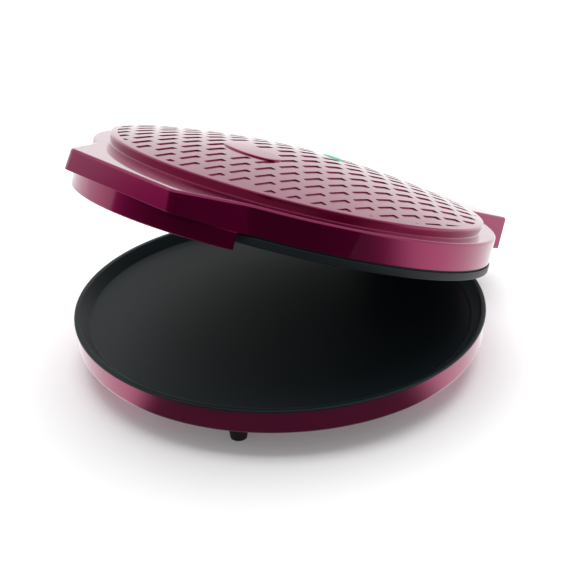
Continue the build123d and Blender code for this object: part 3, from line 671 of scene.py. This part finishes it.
class PIZZA_OT_handle_lip(bpy.types.Operator):
    """Moulds the handle's lower cover with the curved lip that hangs from it"""

    bl_idname = "pizza.handle_lip"
    bl_label = "Handle lip"

    def execute(self, context):
        ends = math.radians(LIP_HALF_ANGLE)
        lip = stitched([lip_section(-ends + 2 * ends * k / 120) for k in range(121)], LID_PLACE, False, True)
        outline = [p for p in shell_ring(2.7, above=0.0) if math.hypot(p[0], p[1]) > 160.8]
        outline.sort(key=lambda p: math.atan2(p[0], -p[1]))
        sections = []
        for x, y, z in outline:
            near = 160.6 / math.hypot(x, y)
            low = underside(y * near)
            sections.append([(x * near, y * near, low), (x, y, z), (x, y, z + 2.5), (x * near, y * near, low + 2.5)])
        cover = stitched(sections, LID_PLACE, False, True)
        lip = carve(lip, [cover], "UNION")
        holes = []
        for side in (-1, 1):
            spot = (side * LIP_SCREW[0], LIP_SCREW[1])
            holes.append(drum(3.4, 0, 11.9, spot, LID_PLACE))
            holes.append(drum(1.6, 11.8, 20, spot, LID_PLACE))
        lip = carve(lip, holes)
        add_piece("handle_lower_lip", lip, finish("shell_plastic"), "lid", ["handle_lip"], 30,
                  True)
        return {"FINISHED"}


class PIZZA_OT_upper_plate(bpy.types.Operator):
    """Turns the upper heating plate"""

    bl_idname = "pizza.upper_plate"
    bl_label = "Upper plate"

    def execute(self, context):
        line = soften([(0, 6, 0), (151, 6, 2), (153.5, 1.0, 1), (156, 0.9, 0.3), (161.2, 0.9, 1.2),
                       (161.2, 7, 0.4), (159.4, 7, 0), (159.4, 8.3, 0), (156.5, 8.3, 0), (156.5, 10.5, 0),
                       (0, 10.5, 0)])
        mesh = lathe(line, LID_PLACE, 320)
        add_piece("upper_heating_plate", mesh, finish("coated_plate"), "lid", ["upper_plate"], 40)
        return {"FINISHED"}


def input_value(modifier, group, name, value):
    """Sets a named input of a Geometry Nodes modifier."""
    for item in group.interface.items_tree:
        if item.item_type == "SOCKET" and item.in_out == "INPUT" and item.name == name:
            modifier[item.identifier] = value
            return
    raise RuntimeError("the slot pattern has no input " + name)


def slot_pattern_tree():
    """Geometry Nodes: staggered columns of upright slot cutters, clear of the badge and the lens."""
    group = bpy.data.node_groups.new("dome_slot_pattern", "GeometryNodeTree")
    face = group.interface
    face.new_socket("Geometry", in_out="INPUT", socket_type="NodeSocketGeometry")
    for name in ("Column pitch", "Row pitch", "Slot length", "Slot width", "Field radius", "First column",
                 "First row", "Corner"):
        face.new_socket(name, in_out="INPUT", socket_type="NodeSocketFloat")
    face.new_socket("Material", in_out="INPUT", socket_type="NodeSocketMaterial")
    face.new_socket("Geometry", in_out="OUTPUT", socket_type="NodeSocketGeometry")
    nodes, links = group.nodes, group.links
    given = nodes.new("NodeGroupInput")

    def vector(x, y, z=0.0):
        node = nodes.new("ShaderNodeCombineXYZ")
        for socket, value in zip(node.inputs, (x, y, z)):
            feed(group, socket, value)
        return node.outputs[0]

    count = 13
    wide = maths(group, "MULTIPLY", given.outputs["Column pitch"], 2.0 * (count - 1))
    tall = maths(group, "MULTIPLY", given.outputs["Row pitch"], float(count - 1))
    joined = nodes.new("GeometryNodeJoinGeometry")
    for odd in (0, 1):
        grid = nodes.new("GeometryNodeMeshGrid")
        grid.inputs["Vertices X"].default_value = count
        grid.inputs["Vertices Y"].default_value = count
        links.new(wide, grid.inputs["Size X"])
        links.new(tall, grid.inputs["Size Y"])
        shift = nodes.new("GeometryNodeTransform")
        links.new(grid.outputs["Mesh"], shift.inputs["Geometry"])
        across = maths(group, "MULTIPLY", given.outputs["Column pitch"], float(odd))
        along = maths(group, "MULTIPLY", given.outputs["Row pitch"], 0.5 * odd)
        links.new(vector(maths(group, "ADD", given.outputs["First column"], across),
                         maths(group, "ADD", given.outputs["First row"], along)),
                  shift.inputs["Translation"])
        links.new(shift.outputs["Geometry"], joined.inputs["Geometry"])
    place = nodes.new("GeometryNodeInputPosition")
    parts = nodes.new("ShaderNodeSeparateXYZ")
    links.new(place.outputs[0], parts.inputs[0])
    x, y = parts.outputs["X"], parts.outputs["Y"]

    def within(centre_x, centre_y, half_x, half_y):
        total = 0.0
        for value, centre, half in ((x, centre_x, half_x), (y, centre_y, half_y)):
            share = maths(group, "DIVIDE", maths(group, "SUBTRACT", value, centre), half)
            total = maths(group, "ADD", maths(group, "MULTIPLY", share, share), total)
        return maths(group, "LESS_THAN", total, 1.0)

    reach = maths(group, "ADD", given.outputs["Field radius"], 0.006)
    outside = maths(group, "SUBTRACT", 1.0, within(0.0, 0.0, reach, reach))
    badge = within(0.0, BADGE_Y * MM, 0.0300, 0.0235)
    lens = within(0.0, LENS_Y * MM, 0.0145, 0.0150)
    drop = maths(group, "MAXIMUM", outside, maths(group, "MAXIMUM", badge, lens))
    remove = nodes.new("GeometryNodeDeleteGeometry")
    remove.domain = "POINT"
    links.new(joined.outputs[0], remove.inputs["Geometry"])
    links.new(drop, remove.inputs["Selection"])
    outline = nodes.new("GeometryNodeCurvePrimitiveQuadrilateral")
    links.new(given.outputs["Slot width"], outline.inputs["Width"])
    links.new(given.outputs["Slot length"], outline.inputs["Height"])
    rounded = nodes.new("GeometryNodeFilletCurve")
    rounded.mode = "POLY"
    rounded.inputs["Count"].default_value = 4
    links.new(outline.outputs["Curve"], rounded.inputs["Curve"])
    links.new(given.outputs["Corner"], rounded.inputs["Radius"])
    filled = nodes.new("GeometryNodeFillCurve")
    filled.mode = "NGONS"
    links.new(rounded.outputs["Curve"], filled.inputs["Curve"])
    tall_up = nodes.new("GeometryNodeExtrudeMesh")
    tall_up.inputs["Individual"].default_value = False
    tall_up.inputs["Offset Scale"].default_value = 0.03
    links.new(filled.outputs["Mesh"], tall_up.inputs["Mesh"])
    flipped = nodes.new("GeometryNodeFlipFaces")
    links.new(filled.outputs["Mesh"], flipped.inputs["Mesh"])
    closed = nodes.new("GeometryNodeJoinGeometry")
    links.new(flipped.outputs["Mesh"], closed.inputs["Geometry"])
    links.new(tall_up.outputs["Mesh"], closed.inputs["Geometry"])
    welded = nodes.new("GeometryNodeMergeByDistance")
    welded.inputs["Distance"].default_value = 1e-6
    links.new(closed.outputs["Geometry"], welded.inputs["Geometry"])
    scatter = nodes.new("GeometryNodeInstanceOnPoints")
    links.new(remove.outputs["Geometry"], scatter.inputs["Points"])
    links.new(welded.outputs["Geometry"], scatter.inputs["Instance"])
    real = nodes.new("GeometryNodeRealizeInstances")
    links.new(scatter.outputs["Instances"], real.inputs["Geometry"])
    dress = nodes.new("GeometryNodeSetMaterial")
    links.new(real.outputs["Geometry"], dress.inputs["Geometry"])
    links.new(given.outputs["Material"], dress.inputs["Material"])
    output = nodes.new("NodeGroupOutput")
    links.new(dress.outputs["Geometry"], output.inputs["Geometry"])
    return group


def slot_cutters(look):
    """The slot pattern as one mesh of upright cutters, in the lid's own frame at height 0."""
    piece = helper_object("slot_cutters", bpy.data.meshes.new("slot_cutters"))
    group = slot_pattern_tree()
    modifier = piece.modifiers.new("pattern", "NODES")
    modifier.node_group = group
    for name, value in (("Column pitch", look.column_pitch), ("Row pitch", look.row_pitch),
                        ("Slot length", look.slot_length), ("Slot width", look.slot_width),
                        ("Field radius", look.pattern_radius), ("First column", 0.001),
                        ("First row", 0.0049), ("Corner", 0.0012), ("Material", finish("shell_plastic"))):
        input_value(modifier, group, name, value)
    return apply_modifiers(piece)


def dome_outline(rise=0.0, end=DOME_RADIUS, count=60):
    """Points of the dome's curve, from its peak out to a radius."""
    reach = [end * (k / count) ** 0.9 for k in range(count + 1)]
    return [(r, dome_height(r, rise)) for r in reach]


def domed_normals(mesh):
    """Gives the dome's upper faces and slot floors the exact normals of its curve."""
    to_lid = LID_PLACE.inverted()
    turn = LID_PLACE.to_3x3()
    normals = [Vector(loop.normal) for loop in mesh.loops]
    for face in mesh.polygons:
        centre = to_lid @ face.center
        if centre.z < 0.034:
            continue
        for i in face.loop_indices:
            spot = to_lid @ mesh.vertices[mesh.loops[i].vertex_index].co
            r = math.hypot(spot.x, spot.y)
            if r > 0.1478:
                continue
            fall = DOME_RISE * DOME_CURVE / DOME_RADIUS * (r / MM / DOME_RADIUS) ** (DOME_CURVE - 1)
            around = Vector((spot.x, spot.y, 0)).normalized() if r > 1e-6 else Vector((0, 0, 0))
            exact = turn @ (around * fall + Vector((0, 0, 1))).normalized()
            if face.normal.dot(exact) > 0.995:
                normals[i] = exact
    mesh.normals_split_custom_set(normals)


class PIZZA_OT_dome(bpy.types.Operator):
    """Turns the domed lid panel and sinks its rows of slots"""

    bl_idname = "pizza.dome"
    bl_label = "Slotted dome"

    def execute(self, context):
        look = context.scene.pizza_maker
        top = dome_outline()
        rim = soften([(top[-2][0], top[-2][1], 0), (DOME_RADIUS, DOME_RIM, 1.2), (147.4, 29.02, 0.7),
                      (149.3, 29.02, 0)], 6)
        line = top[:-2] + rim + [(149.3, 28.9), (142.5, 28.9), (145.6, 34.4)]
        line += [(r, z) for r, z in reversed(dome_outline(-2.5, 145.0, 40))]
        still = Matrix.Identity(4)
        dome = lathe(line, still, 320)
        cutters = slot_cutters(look)
        cutters.transform(Matrix.Translation((0, 0, 0.034)))
        field = drum(look.pattern_radius / MM, 30, 70, (0, 0), still, 256)
        cutters = carve(cutters, [field], "INTERSECT")
        floor_line = dome_outline(-look.slot_depth / MM, 147.0, 60) + [(147.0, 20), (0, 20)]
        floor = lathe(floor_line, still, 320)
        cutters = carve(cutters, [floor])
        dome = carve(dome, [cutters])
        dome.transform(LID_PLACE)
        piece = add_piece("lid_domed_panel", dome, finish("shell_plastic"), "lid", ["lid_dome"],
                          20)
        domed_normals(piece.data)
        return {"FINISHED"}


def raised_oval(name, centre_y, half_x, half_y, rise, rounding, plug, place):
    """A rounded oval pad that follows the dome, with a plug under it, in millimetres."""
    bm = bmesh.new()
    steps = 8
    rings = []
    sides = 96
    levels = [(1.0, -0.4)]
    for k in range(steps + 1):
        angle = math.pi / 2 * k / steps
        levels.append((1 - rounding * (1 - math.cos(angle)), rise * math.sin(angle) if rounding > 0.5
                       else rise - 0.45 + 0.45 * math.sin(angle)))
    inner = 1 - rounding
    for k in range(1, 7):
        levels.append((inner * (1 - k / 7), rise))
    for scale, lift in levels:
        ring = []
        for k in range(sides):
            angle = 2 * math.pi * k / sides
            x = half_x * scale * math.cos(angle)
            y = centre_y + half_y * scale * math.sin(angle)
            ring.append(bm.verts.new((x * MM, y * MM, (dome_height(math.hypot(x, y)) + lift) * MM)))
        rings.append(ring)
    for low, high in zip(rings, rings[1:]):
        for k in range(sides):
            n = (k + 1) % sides
            bm.faces.new((low[k], low[n], high[n], high[k]))
    peak = bm.verts.new((0, centre_y * MM, (dome_height(abs(centre_y)) + rise) * MM))
    for k in range(sides):
        bm.faces.new((rings[-1][k], rings[-1][(k + 1) % sides], peak))
    under = [bm.verts.new((v.co.x * plug, centre_y * MM + (v.co.y - centre_y * MM) * plug, v.co.z))
             for v in rings[0]]
    low = [bm.verts.new((v.co.x, v.co.y, v.co.z - 0.0022)) for v in under]
    for k in range(sides):
        n = (k + 1) % sides
        bm.faces.new((under[k], under[n], rings[0][n], rings[0][k]))
        bm.faces.new((low[k], low[n], under[n], under[k]))
    bm.faces.new(low[::-1])
    bmesh.ops.recalc_face_normals(bm, faces=bm.faces)
    bm.transform(place)
    mesh = bpy.data.meshes.new(name)
    bm.to_mesh(mesh)
    bm.free()
    return mesh


class PIZZA_OT_badge_and_lens(bpy.types.Operator):
    """Sets the bare oval badge pad and the green indicator lens on the dome"""

    bl_idname = "pizza.badge_and_lens"
    bl_label = "Badge pad and lens"

    def execute(self, context):
        mesh = raised_oval("badge", BADGE_Y, 27, 14, 1.2, 0.08, 0.9, LID_PLACE)
        add_piece("badge_pad", mesh, finish("badge_plastic"), "lid", ["badge_plate"], 50)
        mesh = raised_oval("lens", LENS_Y, 11, 5.5, 1.4, 0.9, 0.8, LID_PLACE)
        add_piece("indicator_window", mesh, finish("lens_plastic"), "lid", ["indicator_lens"], 50)
        return {"FINISHED"}


class PIZZA_OT_inner_parts(bpy.types.Operator):
    """Gives every carried-over part its finish"""

    bl_idname = "pizza.inner_parts"
    bl_label = "Inner parts"

    def execute(self, context):
        slots = {entry["node"]: entry["material_slot"] for entry in frame["record"]["subparts"]}
        for node, piece in frame["nodes"].items():
            material = finish(slots[node])
            if not piece.material_slots:
                piece.data.materials.append(material)
            for place in piece.material_slots:
                place.material = material
        return {"FINISHED"}


# Stage


def coordinates(tree, kind="Object"):
    """The x, y and z of a kind of texture coordinates."""
    coords = tree.nodes.new("ShaderNodeTexCoord")
    parts = tree.nodes.new("ShaderNodeSeparateXYZ")
    tree.links.new(coords.outputs[kind], parts.inputs[0])
    return parts.outputs


def bearing(tree, spot):
    """Angle about the base's upright axis, in degrees; -90 is the front."""
    turn = maths(tree, "ARCTAN2", maths(tree, "ADD", spot["Y"], -BASE_PLACE.translation.y), spot["X"])
    return maths(tree, "MULTIPLY", turn, 180 / math.pi)


def band(tree, turn, rise, fall):
    """1 between two fades of the bearing, each given by its first and last angle, and 0 outside."""
    return maths(tree, "MULTIPLY", fade(tree, turn, *rise), fade(tree, turn, *fall, 1.0, 0.0))


def mirrored_ray(tree, path):
    """1 for rays that leave a mirror-like or clear surface."""
    return maths(tree, "MAXIMUM", path.outputs["Is Glossy Ray"], path.outputs["Is Transmission Ray"])


def pale_stage_material():
    """Pale matte floor; mirror-like surfaces see painted white light on it, with a painted shadow just in front of
    the base.
    """
    material = bpy.data.materials.new("pale_floor")
    tree, output = empty_tree(material, "ShaderNodeOutputMaterial")
    matte = tree.nodes.new("ShaderNodeBsdfDiffuse")
    matte.inputs["Color"].default_value = (0.86, 0.86, 0.87, 1)
    path = tree.nodes.new("ShaderNodeLightPath")
    glow = tree.nodes.new("ShaderNodeEmission")
    coords = tree.nodes.new("ShaderNodeTexCoord")
    away = tree.nodes.new("ShaderNodeVectorMath")
    away.operation = "LENGTH"
    tree.links.new(coords.outputs["Object"], away.inputs[0])
    lift = fade(tree, away.outputs["Value"], 0.6, 2.2, 0.13, 1.0)
    tree.links.new(maths(tree, "MULTIPLY", path.outputs["Is Camera Ray"], lift), glow.inputs["Strength"])
    plain = tree.nodes.new("ShaderNodeAddShader")
    tree.links.new(matte.outputs[0], plain.inputs[0])
    tree.links.new(glow.outputs[0], plain.inputs[1])
    # Painted light and shadow: mirror-like surfaces see the floor as glowing white, except in a painted dark band in
    # front of the base.
    front = band(tree, bearing(tree, coordinates(tree)), (-104, -84), (-8, 22))
    mirrored = tree.nodes.new("ShaderNodeEmission")
    tree.links.new(fade(tree, front, 0, 1, 1.2, 0.13), mirrored.inputs["Strength"])
    mix = tree.nodes.new("ShaderNodeMixShader")
    tree.links.new(mirrored_ray(tree, path), mix.inputs["Fac"])
    tree.links.new(plain.outputs[0], mix.inputs[1])
    tree.links.new(mirrored.outputs[0], mix.inputs[2])
    tree.links.new(mix.outputs[0], output.inputs["Surface"])
    return material


def soft_lamp(name, spot, aim, size, power):
    """A wide lamp that mirror-like surfaces don't show."""
    data = bpy.data.lights.new(name, "AREA")
    data.shape = "RECTANGLE"
    data.size, data.size_y = size
    data.energy = power
    lamp = bpy.data.objects.new(name, data)
    lamp.location = spot
    lamp.visible_glossy = False
    lamp.rotation_euler = (Vector(aim) - Vector(spot)).to_track_quat("-Z", "Y").to_euler()
    bpy.context.scene.collection.objects.link(lamp)
    return lamp


def reflected_backdrop():
    """A curved backdrop in front that only mirror-like surfaces see: dark, fading to white at its edges."""
    data = bpy.data.meshes.new("backdrop")
    count = 48
    spots = []
    for k in range(count + 1):
        for height in (0.0, 2.6):
            spots.append((*polar(2, -178 + 218 * k / count), height))
    data.from_pydata(spots, [], [(2 * k, 2 * k + 1, 2 * k + 3, 2 * k + 2) for k in range(count)])
    material = bpy.data.materials.new("backdrop_glow")
    tree, output = empty_tree(material, "ShaderNodeOutputMaterial")
    spot = coordinates(tree)
    turn = bearing(tree, spot)
    front = band(tree, turn, (-138, -130.5), (-15, 25))
    over = maths(tree, "SUBTRACT", spot["Z"], fade(tree, turn, -130, -95, 0.5, 1.3))
    dark = maths(tree, "MULTIPLY", front, fade(tree, over, -0.15, 0.5, 1.0, 0.0))
    glow = tree.nodes.new("ShaderNodeEmission")
    tree.links.new(fade(tree, dark, 0, 1, 1.0, 0.008), glow.inputs["Strength"])
    tree.links.new(glow.outputs[0], output.inputs["Surface"])
    data.materials.append(material)
    card = helper_object("backdrop", data)
    card.visible_camera = False
    card.visible_diffuse = False
    card.visible_shadow = False
    card.visible_transmission = False
    return card


def camera_matrix():
    """The camera's place and turn, fitted to the viewing angle of the rim and the lid."""
    azimuth = math.radians(CAMERA_AZIMUTH)
    height = math.radians(CAMERA_HEIGHT)
    back = Vector((math.sin(azimuth) * math.cos(height), -math.cos(azimuth) * math.cos(height),
                   math.sin(height)))
    right = Vector((0, 0, 1)).cross(back).normalized()
    up = back.cross(right)
    facing = Matrix((right, up, back))
    roll, tilt, pan = (Matrix.Rotation(math.radians(angle), 3, axis)
                       for angle, axis in zip(CAMERA_ROLL_TILT_PAN, "ZXY"))
    facing = (roll @ tilt @ pan) @ facing
    spot = BASE_PLACE.translation + back * CAMERA_DISTANCE
    return Matrix.Translation(spot) @ facing.transposed().to_4x4()


class PIZZA_OT_stage(bpy.types.Operator):
    """Sets the pale floor, soft lamp, world, backdrop and camera"""

    bl_idname = "pizza.stage"
    bl_label = "Stage"

    def execute(self, context):
        scene = context.scene
        scene.view_settings.view_transform = "Standard"
        mesh = bpy.data.meshes.new("floor")
        mesh.from_pydata([(-30, -30, 0), (30, -30, 0), (30, 30, 0), (-30, 30, 0)], [], [(0, 1, 2, 3)])
        mesh.materials.append(pale_stage_material())
        floor = helper_object("floor", mesh)
        world = bpy.data.worlds.new("soft_studio")
        scene.world = world
        tree, output = empty_tree(world, "ShaderNodeOutputWorld")
        soft = tree.nodes.new("ShaderNodeBackground")
        soft.inputs["Color"].default_value = (1, 1, 1, 1)
        soft.inputs["Strength"].default_value = 0.45
        white = tree.nodes.new("ShaderNodeBackground")
        white.inputs["Color"].default_value = (1, 1, 1, 1)
        path = tree.nodes.new("ShaderNodeLightPath")
        sky = fade(tree, coordinates(tree, "Generated")["Z"], 0.0, 0.5, 1.12, 0.7)
        tree.links.new(maths(tree, "MAXIMUM", path.outputs["Is Camera Ray"], sky), white.inputs["Strength"])
        mix = tree.nodes.new("ShaderNodeMixShader")
        seen = maths(tree, "MAXIMUM", path.outputs["Is Camera Ray"], mirrored_ray(tree, path))
        tree.links.new(seen, mix.inputs["Fac"])
        tree.links.new(soft.outputs[0], mix.inputs[1])
        tree.links.new(white.outputs[0], mix.inputs[2])
        tree.links.new(mix.outputs[0], output.inputs["Surface"])
        soft_lamp("key_softbox", (-0.2, 0.25, 1.9), (0, 0, 0), (2.2, 2.2), 50)
        reflected_backdrop()
        data = bpy.data.cameras.new("camera")
        data.sensor_width = 36
        data.lens = FOCAL_LENGTH * data.sensor_width
        data.clip_end = 100
        camera = bpy.data.objects.new("camera", data)
        camera.matrix_world = camera_matrix()
        scene.collection.objects.link(camera)
        scene.camera = camera
        return {"FINISHED"}


PIECE_OPERATORS = (
    PIZZA_OT_base_bowl,
    PIZZA_OT_pan,
    PIZZA_OT_feet,
    PIZZA_OT_lid_shell,
    PIZZA_OT_handle_lip,
    PIZZA_OT_upper_plate,
    PIZZA_OT_dome,
    PIZZA_OT_badge_and_lens,
    PIZZA_OT_inner_parts,
    PIZZA_OT_stage,
)


class PIZZA_PT_sidebar(bpy.types.Panel):
    """Lists the pieces of the pizza maker"""

    bl_idname = "PIZZA_PT_sidebar"
    bl_label = "Pizza Maker"
    bl_space_type = "VIEW_3D"
    bl_region_type = "UI"
    bl_category = "Pizza Maker"

    def draw(self, context):
        look = context.scene.pizza_maker
        for name in ("shell_colour", "coating_colour", "lens_colour", "column_pitch", "row_pitch", "slot_length",
                     "slot_width", "slot_depth", "pattern_radius"):
            self.layout.prop(look, name)
        for operator in PIECE_OPERATORS:
            self.layout.operator(operator.bl_idname)


def register():
    bpy.utils.register_class(PizzaMakerSettings)
    for operator in PIECE_OPERATORS:
        bpy.utils.register_class(operator)
    bpy.utils.register_class(PIZZA_PT_sidebar)
    bpy.types.Scene.pizza_maker = bpy.props.PointerProperty(type=PizzaMakerSettings)


def unregister():
    del bpy.types.Scene.pizza_maker
    bpy.utils.unregister_class(PIZZA_PT_sidebar)
    for operator in reversed(PIECE_OPERATORS):
        bpy.utils.unregister_class(operator)
    bpy.utils.unregister_class(PizzaMakerSettings)


def main():
    register()
    bpy.ops.pizza.base_bowl()
    bpy.ops.pizza.pan()
    bpy.ops.pizza.feet()
    bpy.ops.pizza.lid_shell()
    bpy.ops.pizza.handle_lip()
    bpy.ops.pizza.upper_plate()
    bpy.ops.pizza.dome()
    bpy.ops.pizza.badge_and_lens()
    bpy.ops.pizza.inner_parts()
    bpy.ops.pizza.stage()


if __name__ == "__main__":
    main()
